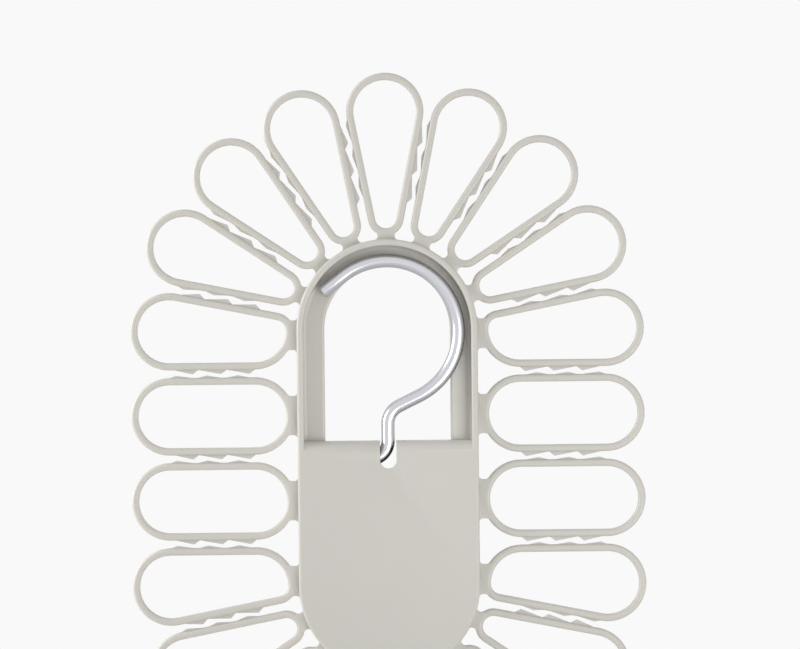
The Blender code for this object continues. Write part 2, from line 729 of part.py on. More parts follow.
def build_keeper(model):
    """The saddle that holds the hook's leg down on its bearing ribs."""
    outer = BORE_RADIUS + KEEPER_PLATE
    under, over = SEAT_GAP, SEAT_GAP + KEEPER_PLATE
    axis = Vector((HINGE_Z, 0.0))
    lift_out, lift_in = math.asin(over / outer), math.asin(under / BORE_RADIUS)
    low, high = HINGE_Z - KEEPER_REACH, PANEL_TOP - SKIN - SEAT_GAP
    outline = [Vector((low, under)), Vector((low, over))]
    outline += arc(axis, outer, math.pi - lift_out, lift_out, FINE_STEP)
    outline += [Vector((high, over)), Vector((high, under))]
    outline += arc(axis, BORE_RADIUS, lift_in, math.pi - lift_in, FINE_STEP)
    place = Matrix.Translation((-(RIB_NEAR + RIB_END) / 2, 0.0, 0.0)) @ SIDE_PLANE
    keeper = plate("hinge_keeper", [outline], RIB_END - RIB_NEAR, place)
    holes = rods("keeper_holes", keeper_screw_places(), SHANK_RADIUS + SEAT_GAP, SKIN, BODY_DEPTH)
    combine(keeper, model.tool(holes), "DIFFERENCE")
    return model.part(keeper, model.plastic)


def hook_path():
    """The wire's middle line as (x, z) points, from the open tip round the crown, down the stem and along the leg."""
    tip_turn = direction(HOOK_TIP_ANGLE + math.pi / 2)
    tip_start = HOOK_CENTRE + HOOK_RADIUS * direction(HOOK_TIP_ANGLE)
    path = [tip_start + tip_turn * HOOK_TIP_LENGTH, tip_start + tip_turn * (HOOK_TIP_LENGTH - TIP_ROUND)]
    path += arc(HOOK_CENTRE, HOOK_RADIUS, HOOK_TIP_ANGLE, -HOOK_LEAVE_ANGLE, HOOK_STEP)
    out = direction(-HOOK_LEAVE_ANGLE)
    leave = path[-1]
    across = NECK_BEND - leave.x
    neck_z = leave.y + (NECK_BEND - across * out.x) / out.y
    neck = Vector((NECK_BEND, neck_z))
    path += arc(neck, NECK_BEND, math.pi - HOOK_LEAVE_ANGLE, math.pi, BEND_STEP)
    leg = Vector((-LEG_BEND, HINGE_Z + LEG_BEND))
    path += arc(leg, LEG_BEND, 0.0, -math.pi / 2, BEND_STEP)
    head = Vector((LEG_HEAD - LEG_END, HINGE_Z))
    path += [head, head, Vector((-LEG_END, HINGE_Z))]
    return path


def build_hook(model):
    """One bent wire: a crown for the rail, a stem, and a leg with an upset head along the hinge's axis."""
    path = hook_path()
    curve = bpy.data.curves.new("hook", "CURVE")
    curve.dimensions = "3D"
    curve.bevel_depth = WIRE_RADIUS
    curve.bevel_resolution = 4
    curve.use_fill_caps = True
    points = [(point.x, point.y - HINGE_Z, 0.0) for point in path]
    step = SEAT_GAP / 2
    points[-3] = (points[-3][0] + step, points[-3][1], 0.0)
    spline = poly_spline(curve, points, cyclic=False)
    spline.points[0].radius = 1 - TIP_ROUND / WIRE_RADIUS
    spline.points[len(points) - 2].radius = LEG_HEAD_RATIO
    spline.points[len(points) - 1].radius = LEG_HEAD_RATIO
    hook = mesh_from_curve("hook", curve, FRONT_PLANE)
    return model.part(hook, model.wire, parent=model.pivot)


def main():
    model = Model()
    slot = plate("stem_slot", [slot_outline()], 4 * BODY_DEPTH, FRONT_PLANE)
    model.tool(slot)
    build_front_shell(model, slot)
    build_back_cover(model, slot)
    build_keeper(model)
    build_hook(model)
    build_screws(model)
    build_loops(model)
    bpy.context.view_layer.update()


main()
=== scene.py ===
"""Accessory hanger: the looks of a moulded frame ringed by sprung loops, with a wire hook in its arch.

It loads the packed frame, models each visible piece over its solid, gives every piece its finish and lights
a plain studio. The frame stands upright and faces -Y, with the hook's rail seat at the origin. Pieces are
modelled about the middle of the frame and then moved down to their place.
"""

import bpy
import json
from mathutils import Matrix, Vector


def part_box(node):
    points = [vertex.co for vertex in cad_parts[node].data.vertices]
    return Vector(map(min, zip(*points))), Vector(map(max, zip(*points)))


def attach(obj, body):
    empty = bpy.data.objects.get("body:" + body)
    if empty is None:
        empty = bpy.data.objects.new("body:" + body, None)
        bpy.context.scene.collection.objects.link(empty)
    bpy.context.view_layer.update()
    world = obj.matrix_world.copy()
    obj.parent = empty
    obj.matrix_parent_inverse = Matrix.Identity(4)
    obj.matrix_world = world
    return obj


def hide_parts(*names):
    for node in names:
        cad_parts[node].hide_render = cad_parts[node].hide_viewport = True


bl_info = {
    "name": "Accessory Hanger",
    "version": (1, 0, 0),
    "blender": (4, 5, 0),
    "location": "3D View > Sidebar > Hanger",
    "description": "Models and finishes an accessory hanger piece by piece, over its packed frame",
    "category": "Add Mesh",
}

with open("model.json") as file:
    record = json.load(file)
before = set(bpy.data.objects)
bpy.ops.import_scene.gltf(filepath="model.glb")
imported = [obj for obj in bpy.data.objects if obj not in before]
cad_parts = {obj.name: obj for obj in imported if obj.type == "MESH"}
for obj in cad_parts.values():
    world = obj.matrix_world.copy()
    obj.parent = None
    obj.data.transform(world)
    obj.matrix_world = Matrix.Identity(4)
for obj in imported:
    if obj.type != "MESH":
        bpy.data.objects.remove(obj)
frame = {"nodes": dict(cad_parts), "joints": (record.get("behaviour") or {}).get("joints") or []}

import json
import math

import bmesh
import bpy
from bpy.props import FloatProperty, FloatVectorProperty, IntProperty, PointerProperty
from mathutils import Quaternion, Vector

MM = 0.001
# Points nearer than this are one point
WELD = 0.01 * MM
# An arc's straight steps leave its curve by no more than this
SAG = 0.012 * MM
HALF_TURN = math.pi
QUARTER = math.pi / 2

# What the packed frame says of the body, the ring of loops and the hinge
SHELL_LOW, SHELL_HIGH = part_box("front_shell")
BODY_HALF = (SHELL_HIGH.x - SHELL_LOW.x) / 2
MIDDLE_Z = (SHELL_HIGH.z + SHELL_LOW.z) / 2
ARC_CENTRE = (SHELL_HIGH.z - SHELL_LOW.z) / 2 - BODY_HALF
FRONT = SHELL_LOW.y
BACK = SHELL_HIGH.y
MIDDLE_DEPTH = (FRONT + BACK) / 2
HINGE_Z = frame["joints"][0]["pos_m"][2] - MIDDLE_Z
RING_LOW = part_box("loop_bottom")[0].z

# The ring: seven loops fan round each end, four stand square to each side
FAN_LOOPS = 7
FULL_SIDE_LOOPS = 2
HALF_WEDGE = HALF_TURN / (FAN_LOOPS + 1) / 2
LOOP_PITCH = 2 * ARC_CENTRE / (FULL_SIDE_LOOPS + 1)
END_CENTRE = LOOP_PITCH / 2 / math.sin(HALF_WEDGE)
FAN, TRANSITION, SIDE = "fan", "transition", "side"
TALL, LOW = "tall", "low"

# How finely the round forms are drawn whose steps aren't worked out from the sag
PANEL_SIDES, COVER_SIDES, FLOOR_SIDES, SLOT_SIDES, ROUND_SIDES = 160, 128, 128, 64, 32
BROW_STEPS, BELL_STEPS, PAN_STEPS = 12, 9, 4
# Edges that turn by more than this are shaded sharp
CREASE = math.radians(32)
# Nearly all of a noise lies between these two values
NOISE_SPAN = {"From Min": 0.3, "From Max": 0.7}
# Pixels across the picture that the camera takes
PICTURE_WIDTH = 800


def number(name, value, description, **limits):
    """A number that a user would change."""
    return FloatProperty(name=name, description=description, default=value, **limits)


def length(name, value, description):
    """A size that a user would change, given in millimetres and shown in the scene's own unit."""
    return number(name, value * MM, description, min=0.0, unit="LENGTH", precision=5)


def degrees(name, value, description):
    """An angle that a user would change, given in degrees."""
    return number(name, math.radians(value), description, subtype="ANGLE")


def triple(name, value, description, subtype):
    """A place or a colour that a user would change."""
    return FloatVectorProperty(name=name, description=description, default=value, subtype=subtype, size=3)


def colour(name, value, description):
    """A colour that a user would change, given as an sRGB hex value."""
    return triple(name, linear(value), description, "COLOR")


def linear(hex_value):
    """The linear red, green and blue of an sRGB hex value."""
    channels = [int(hex_value[i : i + 2], 16) / 255 for i in (1, 3, 5)]
    return tuple(c / 12.92 if c <= 0.04045 else ((c + 0.055) / 1.055) ** 2.4 for c in channels)


class LoopSizes(bpy.types.PropertyGroup):
    """Sizes of the sprung loops"""

    bar_width: length("Bar width", 3.6, "Width of a loop's bar, seen from the front")
    bar_depth: length("Bar depth", 6.0, "Depth of a loop's bar, from front to back")
    bar_round: length("Bar round", 1.35, "Rounding of a bar's edges")
    gap: length("Gap", 3.8, "Gap between the facing bars of two loops")
    neck_length: length("Neck length", 5.4, "From the body to the inner end of a loop's opening")
    neck_depth: length("Neck depth", 5.9, "Depth of the flat neck that joins a loop to the body")
    neck_round: length("Neck round", 1.9, "Radius where a neck meets the body or its loop")
    neck_ease: length("Neck ease", 0.35, "Rounding of a neck's front and back edges")
    fan_inset: length("Fan neck inset", 1.03, "How far inside its inner bend a fan's neck lies, each side")
    transition_inset: length("Transition neck inset", 0.3, "The same, for a loop where a fan meets a side")
    side_inset: length("Side neck inset", 5.85, "The same, for the loops down the sides")
    root_bite: length("Root bite", 1.0, "How far a neck runs into the body's wall")
    barbs: IntProperty(name="Barbs", description="Barbs on each bar", default=3, min=1, max=6)
    barb_depth: length("Barb depth", 2.6, "Depth of a barb, from front to back")
    barb_sink: length("Barb sink", 0.06, "How far a barb's foot lies inside its bar")
    barb_ease: length("Barb ease", 0.25, "Rounding of a barb's ridge")
    tall: length("Tall barb", 2.1, "Height of the tall barbs")
    tall_start: length("Tall start", 2.3, "Where the first tall barb starts, from the loop's end bend")
    tall_lead: length("Tall lead", 2.55, "How far before the end of its pitch a tall barb peaks")
    tall_back: length("Tall back", 2.8, "Length of a tall barb's steep side")
    low: length("Low barb", 1.15, "Height of the low barbs")
    low_apart: length("Low apart", 2.7, "Flat between two low barbs")
    low_rise: length("Low rise", 3.0, "Length of the first low barb's outer side")
    low_step: length("Low step", 1.3, "How much longer that side is on each next barb")


class BodySizes(bpy.types.PropertyGroup):
    """Sizes of the moulded body"""

    wall: length("Rim wall", 3.2, "Thickness of the rim wall")
    crest_outer: length("Crest, outer", 1.2, "Radius of the rim's outer front edge")
    crest_inner: length("Crest, inner", 1.2, "Radius of the rim's inner front edge")
    back_edge: length("Back edge", 0.4, "Radius of the rim's back edges")
    skin: length("Skin", 2.4, "Thickness of the front panel")
    set_back: length("Set back", 0.03, "How far the panel lies behind the rim's crest")
    panel_top: length("Panel top", 8.2, "Height of the panel's top edge over the middle")
    brow: length("Brow radius", 6.0, "Radius with which the panel rolls back at its top edge")
    ledge_width: length("Ledge width", 10.4, "From the rim wall to the arch's opening")
    ledge_skin: length("Ledge skin", 2.0, "Thickness of the ledge")
    lip_wall: length("Lip wall", 2.2, "Thickness of the lip round the opening")
    ledge_crest: length("Ledge crest", 9.0, "Depth of the ledge at the opening, before its edge is rounded")
    ledge_foot: length("Ledge foot", 10.8, "Depth of the ledge at the rim wall")
    hollow: length("Hollow", 1.5, "Radius with which the ledge rises into the rim wall")
    hollow_bite: length("Hollow bite", 0.16, "How far inside the rim wall the hollow ends")
    ledge_round: length("Ledge round", 1.4, "Rounding of the ledge's edge round the opening")
    lip_back: length("Lip back", 2.0, "How far before the back the lip round the opening ends")
    slot_half: length("Slot half width", 4.0, "Half of the width of the slot for the hook's stem")
    slot_drop: length("Slot drop", 4.55, "From the hinge's axis down to the bottom of the slot")
    slot_ease: length("Slot ease", 0.3, "Rounding of the edges of the slot and the ribs")
    cover: length("Cover", 2.0, "Thickness of the back cover")
    cover_ease: length("Cover ease", 0.4, "Rounding of the edges of the back cover and the bosses")
    cover_slot_room: length("Cover slot room", 0.8, "How much wider the slot is in the cover")
    seat_gap: length("Seat gap", 0.3, "Clearance between pieces that seat on one another")
    rib_width: length("Rib width", 3.0, "Width of the two ribs that bear the hook's leg")
    rib_reach: length("Rib reach", 12.05, "From the hinge's axis down to the foot of a rib")
    boss: length("Boss radius", 3.4, "Radius of the screw bosses")
    bell: length("Bell mouth", 5.7, "Radius at which the hinge's bore opens into the slot")


class HookSizes(bpy.types.PropertyGroup):
    """Sizes of the wire hook"""

    wire: length("Wire radius", 3.25, "Half of the wire's diameter")
    crown: length("Crown radius", 35.2, "Radius of the crown at the wire's middle line")
    crown_drop: length("Crown drop", 1.3, "How far under the arch's centre the crown's centre lies")
    tip_length: length("Tip length", 13.0, "Straight run at the open end")
    neck_bend: length("Neck bend", 9.9, "Radius of the bend between crown and stem")
    leg_bend: length("Leg bend", 9.0, "Radius of the bend between stem and leg")
    leg: length("Leg", 21.0, "Length of the leg along the hinge's axis")
    head: length("Head", 1.8, "Length of the upset head that holds the leg")
    head_radius: length("Head radius", 4.06, "Radius of the upset head")
    tip_angle: degrees("Tip angle", 127.5, "Where the crown ends, up from the right and over the top")
    leave_angle: degrees("Leave angle", 64, "Where the crown starts, down from the right")
    ease: length("End ease", 0.35, "Rounding of the wire's open end")


class FastenerSizes(bpy.types.PropertyGroup):
    """Sizes of the screws"""

    shank: length("Shank radius", 1.25, "Radius of a screw's shank")
    head: length("Head radius", 2.6, "Radius of a screw's head")
    flat_head: length("Countersunk head", 1.4, "Height of a countersunk head")
    flat_rim: length("Countersunk rim", 0.3, "Height of the straight rim of a countersunk head")
    pan_head: length("Pan head", 1.6, "Height of a pan head")
    flat_length: length("Cover screw length", 9.0, "Length of a cover screw with its head")
    pan_length: length("Keeper screw length", 5.2, "Length of a keeper screw under its head")
    point: length("Point", 0.5, "How far a screw's end is drawn in, over the same length")
    recess: length("Recess length", 3.2, "Length of the cross recess from end to end")
    recess_width: length("Recess width", 0.7, "Width of the cross recess")
    recess_depth: length("Recess depth", 0.6, "Depth of the cross recess")
    recess_taper: number("Recess taper", 0.8, "Width of its floor against its mouth", min=0.1, max=1.0)


class Finishes(bpy.types.PropertyGroup):
    """Colours of the materials"""

    plastic: colour("Plastic", "#CFCDC7", "Body, loops and cover")
    plastic_warm: colour("Plastic, warm", "#D1CEC6", "Slight drift of the plastic's colour")
    wire: colour("Wire", "#D2D2D8", "Hook")
    wire_edge: colour("Wire edge", "#ACACB2", "How the hook reflects at a grazing angle")
    steel: colour("Steel", "#C9CACD", "Screws")


class StudioSettings(bpy.types.PropertyGroup):
    """Camera, lamps and floor"""

    distance: length("Camera distance", 2400, "From the camera to the hook's hinge axis")
    aim_x: length("Aim across", 6.45, "What the camera looks at, to the side of the object's middle")
    aim_z: length("Aim up", 65.4, "What the camera looks at, over the object's middle")
    pixel: length("Pixel", 0.4934, "Size of one pixel of the picture at the object")
    roll: degrees("Roll", 0.6, "Turn of the picture")
    key: number("Key lamp", 18.0, "Power of the soft lamp on the left", min=0.0, unit="POWER")
    key_place: triple("Key place", (-1.4, -0.1, 0.3), "Where the left lamp stands", "TRANSLATION")
    fill: number("Fill lamp", 8.0, "Power of the soft lamp low on the right", min=0.0, unit="POWER")
    fill_place: triple("Fill place", (0.75, -1.3, -0.4), "Where the right lamp stands", "TRANSLATION")
    lamp_size: length("Lamp size", 800, "Side of each square lamp")
    ambient: number("Ambient", 0.56, "Strength of the room's light", min=0.0)
    backdrop: colour("Backdrop", "#F9F9F9", "What the camera sees behind the object")
    floor: colour("Floor", "#F0F0EE", "Floor under the object")
    floor_radius: length("Floor radius", 460, "From the floor's middle to its edge")
    fade_start: length("Fade start", 280, "How far out the floor starts to fade away")
    fade_end: length("Fade end", 450, "How far out nothing of the floor is left")
    lift: number("Floor lift", 0.28, "What the camera sees the floor brightened by", min=0.0)


# Modelling by hand: these keep a step's selection and its operator together


def add_piece(name, primitive, **placing):
    """Adds a primitive with nothing else selected, names it and opens it for shaping, all of it selected."""
    bpy.ops.object.select_all(action="DESELECT")
    primitive(**placing)
    piece = bpy.context.object
    piece.name = piece.data.name = name
    bpy.ops.object.transform_apply(location=True, rotation=True, scale=True)
    bpy.ops.object.mode_set(mode="EDIT")
    bpy.ops.mesh.select_mode(type="VERT")
    pick_all()
    return piece


def add_disc(name, sides, radius, place, facing=(0, 0, 0)):
    """Opens a new flat disc, filled by one face that is turned from +Z by these angles."""
    circle = {"vertices": sides, "radius": radius, "fill_type": "NGON"}
    return add_piece(name, bpy.ops.mesh.primitive_circle_add, location=place, rotation=facing, **circle)


def add_section(name, middle, width, depth, rounds):
    """Opens a new flat section across X and Y, rounds its corners, and keeps its outline alone, selected."""
    section = add_piece(name, bpy.ops.mesh.primitive_plane_add, size=width, location=middle)
    for way in (-1, 1):
        pick(section, "verts", lambda at: (at.y - middle[1]) * way > 0)
        shift(y=way * (depth - width) / 2)
    for radius, segments, corner in rounds:
        pick(section, "verts", corner)
        round_off(radius, segments, kind="VERTICES")
    pick_all()
    bpy.ops.mesh.delete(type="ONLY_FACE")
    pick_all()
    return section


def add_point(name, x, y, z):
    """Opens a new piece that is one vertex, from which an outline is drawn."""
    point = add_piece(name, bpy.ops.mesh.primitive_plane_add, size=MM, location=(x, y, z))
    bpy.ops.mesh.merge(type="CENTER")
    return point


def make_active(piece):
    """Selects this finished piece alone."""
    bpy.ops.object.select_all(action="DESELECT")
    piece.select_set(True)
    bpy.context.view_layer.objects.active = piece


def middle_of(item):
    """Where a vertex is, or the mean of an edge's or a face's corners."""
    if hasattr(item, "co"):
        return item.co
    return sum((vert.co for vert in item.verts), Vector()) / len(item.verts)


def pick(piece, kind, passes):
    """Selects only those vertices, edges or faces of the open piece whose middle passes the test."""
    bpy.ops.mesh.select_mode(type={"verts": "VERT", "edges": "EDGE", "faces": "FACE"}[kind])
    bpy.ops.mesh.select_all(action="DESELECT")
    cage = bmesh.from_edit_mesh(piece.data)
    for item in getattr(cage, kind):
        if passes(middle_of(item)):
            item.select_set(True)
    cage.select_flush_mode()
    bmesh.update_edit_mesh(piece.data)


def pick_all():
    bpy.ops.mesh.select_all(action="SELECT")


def turn(x, z, angle, radius):
    """Spins what is selected about a line along Y, anticlockwise from the front for a positive angle."""
    steps = max(2, math.ceil(abs(angle) / (2 * math.acos(1 - SAG / radius))))
    bpy.ops.mesh.spin(steps=steps, angle=angle, center=(x, 0, z), axis=(0, 1, 0))


def carry(x=0.0, y=0.0, z=0.0):
    """Extrudes what is selected by this much."""
    bpy.ops.mesh.extrude_region_move(TRANSFORM_OT_translate={"value": (x, y, z)})


def shift(x=0.0, y=0.0, z=0.0):
    bpy.ops.transform.translate(value=(x, y, z))


def round_off(radius, segments, kind="EDGES"):
    """Bevels the selected edges or corners."""
    bpy.ops.mesh.bevel(offset=radius, segments=segments, affect=kind)


def weld():
    pick_all()
    bpy.ops.mesh.remove_doubles(threshold=WELD)


def face_out():
    pick_all()
    bpy.ops.mesh.normals_make_consistent(inside=False)


def leave_edit():
    bpy.ops.object.mode_set(mode="OBJECT")


def close_up():
    """Welds the open piece's seams, turns its faces outwards and leaves edit mode."""
    weld()
    face_out()
    leave_edit()


def use_modifier(piece, kind, **settings):
    """Adds a modifier to a finished piece, sets it and applies it."""
    make_active(piece)
    bpy.ops.object.modifier_add(type=kind)
    modifier = piece.modifiers[-1]
    for setting, value in settings.items():
        setattr(modifier, setting, value)
    bpy.ops.object.modifier_apply(modifier=modifier.name)


def combine(piece, tool, operation):
    """Joins the tool on to the piece, or cuts it away, and removes the tool."""
    use_modifier(piece, "BOOLEAN", operation=operation, solver="EXACT", object=tool)
    bpy.data.objects.remove(tool)


def copy_of(pattern, name):
    """A copy of a finished piece, with its own mesh."""
    make_active(pattern)
    bpy.ops.object.duplicate(linked=False)
    copied = bpy.context.object
    copied.name = copied.data.name = name
    return copied


def settle(piece, place, angle=0.0):
    """Moves a finished piece to its place and turns it about Y, inside its mesh."""
    make_active(piece)
    piece.location = place
    piece.rotation_euler = (0, angle, 0)
    bpy.ops.object.transform_apply(location=True, rotation=True, scale=True)


def lower_to_place(piece):
    """Moves a piece from the middle of the frame to its place under the rail seat."""
    settle(piece, (0, 0, MIDDLE_Z))


def dress(piece, finish):
    """Gives a piece its one material."""
    piece.data.materials.clear()
    piece.data.materials.append(material_of(finish))


def hand_over(piece, finish, body, nodes):
    """Shades a finished piece, gives it its material, and lets it stand for its solids on their body."""
    make_active(piece)
    bpy.ops.object.shade_smooth_by_angle(angle=CREASE)
    dress(piece, finish)
    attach(piece, body)
    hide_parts(*nodes)


# Materials


def feed(tree, fed, inputs):
    """Gives each named input of a node its value or its link."""
    for socket, value in inputs.items():
        if isinstance(value, bpy.types.NodeSocket):
            tree.links.new(value, fed.inputs[socket])
        else:
            fed.inputs[socket].default_value = value


def node(tree, kind, inputs=None, **settings):
    """Adds a node, sets it up, and feeds its inputs."""
    made = tree.nodes.new(kind)
    for setting, value in settings.items():
        setattr(made, setting, value)
    feed(tree, made, inputs or {})
    return made


def material_of(finish):
    """The material that a finish describes, made when the first piece asks for it."""
    material = bpy.data.materials.get(finish.__name__)
    if not material:
        material = bpy.data.materials.new(finish.__name__)
        material.use_nodes = True
        tree = material.node_tree
        place = node(tree, "ShaderNodeTexCoord").outputs["Object"]
        feed(tree, tree.nodes["Principled BSDF"], finish(tree, place, bpy.context.scene))
    return material


def moulded_polypropylene(tree, place, scene):
    """Injection moulded polypropylene with a fine spark-eroded texture: matt, with a soft wide sheen and a
    faint drift of colour where the melt cooled unevenly."""
    # Flow drift of about 35 mm, and a spark-eroded mould's grain, which is 0.05 mm and is drawn at 0.5 mm
    drift = node(tree, "ShaderNodeTexNoise", {"Vector": place, "Scale": 1 / (35 * MM), "Detail": 2.0})
    grain = node(tree, "ShaderNodeTexNoise", {"Vector": place, "Scale": 1 / (0.5 * MM), "Detail": 3.0})
    plain, warm = (*scene.hanger_finishes.plastic, 1.0), (*scene.hanger_finishes.plastic_warm, 1.0)
    blend = {"Factor": drift.outputs["Fac"], "A": plain, "B": warm}
    spread = {"Value": grain.outputs["Fac"], **NOISE_SPAN, "To Min": 0.3, "To Max": 0.38}
    grit = {"Height": grain.outputs["Fac"], "Strength": 0.12, "Distance": 0.02 * MM}
    return {
        "Base Color": node(tree, "ShaderNodeMix", blend, data_type="RGBA").outputs["Result"],
        "Roughness": node(tree, "ShaderNodeMapRange", spread).outputs["Result"],
        "Normal": node(tree, "ShaderNodeBump", grit).outputs["Normal"],
        "IOR": 1.49,
        "Subsurface Weight": 0.25,
        "Subsurface Radius": (1.0, 0.75, 0.5),
        "Subsurface Scale": 2.0 * MM,
    }


def drawn_anodised_aluminium(tree, place, scene):
    """Drawn and clear anodised aluminium wire: bright and satin, its highlights spread by the anodising."""
    # The bloom of the anodised layer, about 0.1 mm, is drawn at 0.6 mm, and its gloss drifts over 12 mm
    bloom = node(tree, "ShaderNodeTexNoise", {"Vector": place, "Scale": 1 / (0.6 * MM), "Detail": 3.0})
    cloud = node(tree, "ShaderNodeTexNoise", {"Vector": place, "Scale": 1 / (12 * MM), "Detail": 1.0})
    spread = {"Value": cloud.outputs["Fac"], **NOISE_SPAN, "To Min": 0.22, "To Max": 0.28}
    haze = {"Height": bloom.outputs["Fac"], "Strength": 0.05, "Distance": 0.01 * MM}
    return {
        "Base Color": (*scene.hanger_finishes.wire, 1.0),
        "Specular Tint": (*scene.hanger_finishes.wire_edge, 1.0),
        "Metallic": 1.0,
        "Roughness": node(tree, "ShaderNodeMapRange", spread).outputs["Result"],
        "Normal": node(tree, "ShaderNodeBump", haze).outputs["Normal"],
    }


def zinc_plated_steel(tree, place, scene):
    """Cold-headed steel screws with bright zinc plating: a cool grey with a slightly uneven gloss."""
    # Plating crystals of about 0.2 mm are drawn at 0.4 mm
    crystals = node(tree, "ShaderNodeTexNoise", {"Vector": place, "Scale": 1 / (0.4 * MM), "Detail": 2.0})
    spread = {"Value": crystals.outputs["Fac"], **NOISE_SPAN, "To Min": 0.26, "To Max": 0.4}
    return {
        "Base Color": (*scene.hanger_finishes.steel, 1.0),
        "Metallic": 1.0,
        "Roughness": node(tree, "ShaderNodeMapRange", spread).outputs["Result"],
    }


def matt_paper_floor(tree, place, scene):
    """Matt pale paper that fades out towards its edge, and that the camera sees brighter than it is lit."""
    studio = scene.hanger_studio
    flat = node(tree, "ShaderNodeMapping", {"Vector": place, "Scale": (1, 1, 0)})
    distance = node(tree, "ShaderNodeVectorMath", {0: flat.outputs[0]}, operation="LENGTH")
    span = {"From Min": studio.fade_start, "From Max": studio.fade_end, "To Min": 1.0, "To Max": 0.0}
    span["Value"] = distance.outputs["Value"]
    fade = node(tree, "ShaderNodeMapRange", span, interpolation_type="SMOOTHSTEP")
    seen = node(tree, "ShaderNodeLightPath").outputs["Is Camera Ray"]
    lift = node(tree, "ShaderNodeMath", {0: seen, 1: studio.lift}, operation="MULTIPLY")
    return {
        "Base Color": (*studio.floor, 1),
        "Roughness": 0.9,
        "Emission Color": (1, 1, 1, 1),
        "Emission Strength": lift.outputs[0],
        "Alpha": fade.outputs["Result"],
    }


# Sprung loops


def heading(angle, hand=1):
    """The unit step at this angle in the loop's plane, mirrored to its other side where hand is -1."""
    return Vector((math.cos(angle), hand * math.sin(angle)))


class LoopSide:
    """One side of a loop, drawn with u outwards along the loop's middle and v to this side."""

    def __init__(self, sizes, kind, barbs, hand):
        self.sizes, self.kind, self.barbs, self.hand = sizes, kind, barbs, hand
        self.slope = 0.0 if kind == SIDE else HALF_WEDGE
        self.tangent = QUARTER + self.slope
        self.hole_start = BODY_HALF + sizes.neck_length
        self.end_radius = LOOP_PITCH / 2 - sizes.gap / 2
        rise = self.hole_start * math.sin(self.slope)
        if kind == SIDE:
            rise = LOOP_PITCH / 2
        self.corner = (rise - sizes.gap / 2 - sizes.bar_width) / (1 - math.sin(self.slope))
        self.corner_u = self.hole_start + self.corner
        inset = {FAN: sizes.fan_inset, TRANSITION: sizes.transition_inset, SIDE: sizes.side_inset}[kind]
        self.neck = self.corner - inset

    def bar_step(self):
        """From the end bend to the inner bend, along the bar's middle line."""
        half = self.sizes.bar_width / 2
        inner = Vector((self.corner_u, 0)) + (self.corner + half) * heading(self.tangent, self.hand)
        outer = Vector((END_CENTRE, 0)) + (self.end_radius - half) * heading(self.tangent, self.hand)
        return inner - outer

    def barb_corners(self):
        """The start, ridge and end of each barb, in the loop's plane."""
        sizes = self.sizes
        side_corner = LOOP_PITCH / 2 - sizes.gap / 2 - sizes.bar_width
        pitch = (END_CENTRE - self.hole_start - side_corner) / sizes.barbs
        out = heading(self.tangent, self.hand)
        along = -heading(self.slope, self.hand)
        tangent = Vector((END_CENTRE, 0)) + self.end_radius * out
        corners = []
        # The feet of two tall barbs end a hair apart, so that no two corners fall together
        for i in range(sizes.barbs):
            if self.barbs == TALL:
                ridge, height = (i + 1) * pitch - sizes.tall_lead, sizes.tall
                start = i * pitch - sizes.tall_lead + sizes.tall_back + WELD if i else sizes.tall_start
                end = ridge + sizes.tall_back - WELD
            else:
                start, height = i * pitch, sizes.low
                ridge, end = start + sizes.low_rise + i * sizes.low_step, start + pitch - sizes.low_apart
            sunk = -sizes.barb_sink
            spots = ((start, sunk), (ridge, height), (end, sunk))
            corners.append([tangent + along * distance + out * lift for distance, lift in spots])
        return corners


def trace_bar(sizes, left, right):
    """The loop's bar: a section with rounded corners, carried and spun once round the loop."""
    start = END_CENTRE + left.end_radius - sizes.bar_width / 2
    corners = [(sizes.bar_round, 5, lambda at: True)]
    bar = add_section("loop", (start, 0, 0), sizes.bar_width, sizes.bar_depth, corners)
    turn(END_CENTRE, 0, left.tangent, left.end_radius)
    carry(left.bar_step().x, 0, left.bar_step().y)
    turn(left.corner_u, 0, HALF_TURN - left.tangent, left.corner)
    turn(right.corner_u, 0, HALF_TURN - right.tangent, right.corner)
    carry(-right.bar_step().x, 0, -right.bar_step().y)
    turn(END_CENTRE, 0, right.tangent, right.end_radius)
    close_up()
    return bar


def trace_neck(sizes, sides):
    """The flat neck: its outline is drawn from the bar's middle line to the root, filled and thickened."""
    half = sizes.bar_width / 2
    fillet = sizes.neck_round
    inner_end = BODY_HALF + sizes.neck_length - half
    neck = add_point("neck", inner_end, -sizes.neck_depth / 2, 0)
    for side in sides:
        pick(neck, "verts", lambda at: abs(at.x - inner_end) < WELD and abs(at.z) < WELD)
        reach = side.corner + sizes.bar_width + fillet
        edge = side.neck + fillet
        fillet_u = side.corner_u - math.sqrt(reach**2 - edge**2)
        aim = math.atan2(edge, fillet_u - side.corner_u)
        root_u, lean = BODY_HALF + fillet, 0.0
        if side.kind != SIDE:
            root_u = math.sqrt((BODY_HALF + fillet) ** 2 - edge**2)
            lean = math.atan2(edge, root_u)
        turn(side.corner_u, 0, side.hand * (aim - HALF_TURN), side.corner + half)
        out = half * heading(aim, side.hand)
        carry(out.x, 0, out.y)
        turn(fillet_u, side.hand * edge, side.hand * (QUARTER - aim), fillet)
        carry(root_u - fillet_u)
        turn(root_u, side.hand * edge, side.hand * (lean - QUARTER), fillet)
        bite = -sizes.root_bite * heading(lean, side.hand)
        carry(bite.x, 0, bite.y)
    weld()
    # The outline's two ends, which lie deepest in the body's wall, are joined, and then it is filled
    pick(neck, "verts", lambda at: at.x < BODY_HALF - 0.7 * sizes.root_bite)
    bpy.ops.mesh.edge_face_add()
    pick_all()
    bpy.ops.mesh.edge_face_add()
    carry(y=sizes.neck_depth)
    face_out()
    pick(neck, "edges", lambda at: abs(abs(at.y) - sizes.neck_depth / 2) < WELD)
    round_off(sizes.neck_ease, segments=2)
    close_up()
    return neck


